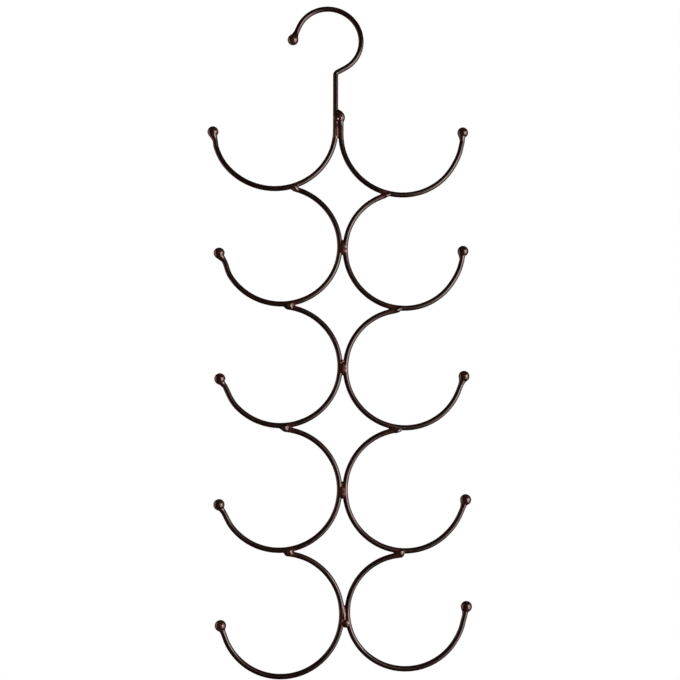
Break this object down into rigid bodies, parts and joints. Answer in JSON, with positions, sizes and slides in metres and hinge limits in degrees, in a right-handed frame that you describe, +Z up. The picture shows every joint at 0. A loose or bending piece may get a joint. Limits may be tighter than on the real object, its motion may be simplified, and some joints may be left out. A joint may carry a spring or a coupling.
{
  "type": "hat hanger",
  "caption": "Hanging rack of welded round wire for hats: a rail hook over paired open ring arms joined along a central spine, with a ball on every free end.",
  "frame": {"origin": "top of the hook's bore, where the hanger rests on its rail, in the middle of the wire's thickness", "axes": "+Z up along the shank, +X to the right as seen from the front, with the hook's tip on the left, +Y through the thickness, away from the viewer"},
  "size_m": [0.208, 0.0086, 0.5273],
  "materials": {
    "wire_coat": "dark brown-black bronze coat over steel wire, glossy, thin on the bends",
    "ball_coat": "the same coat, pooled thicker and redder at the balls and their necks",
    "weld_coat": "the same coat over lumpy weld metal, red-brown and less glossy"
  },
  "bodies": {
    "root": {"hook_wire": "wire_coat", "right_arm_1": "wire_coat", "left_arm_2": "wire_coat", "left_arm_3": "wire_coat", "left_arm_4": "wire_coat", "left_arm_5": "wire_coat", "right_arm_2": "wire_coat", "right_arm_3": "wire_coat", "right_arm_4": "wire_coat", "right_arm_5": "wire_coat", "hook_ball": "ball_coat", "stem_ball": "ball_coat", "left_ball_1": "ball_coat", "left_ball_2": "ball_coat", "left_ball_3": "ball_coat", "left_ball_4": "ball_coat", "left_ball_5": "ball_coat", "right_ball_1": "ball_coat", "right_ball_2": "ball_coat", "right_ball_3": "ball_coat", "right_ball_4": "ball_coat", "right_ball_5": "ball_coat", "spine_weld_1": "weld_coat", "spine_weld_2": "weld_coat", "spine_weld_3": "weld_coat", "spine_weld_4": "weld_coat", "spine_weld_5": "weld_coat", "left_weld_2": "weld_coat", "left_weld_3": "weld_coat", "left_weld_4": "weld_coat", "left_weld_5": "weld_coat", "right_weld_2": "weld_coat", "right_weld_3": "weld_coat", "right_weld_4": "weld_coat", "right_weld_5": "weld_coat"}
  },
  "joints": []
}
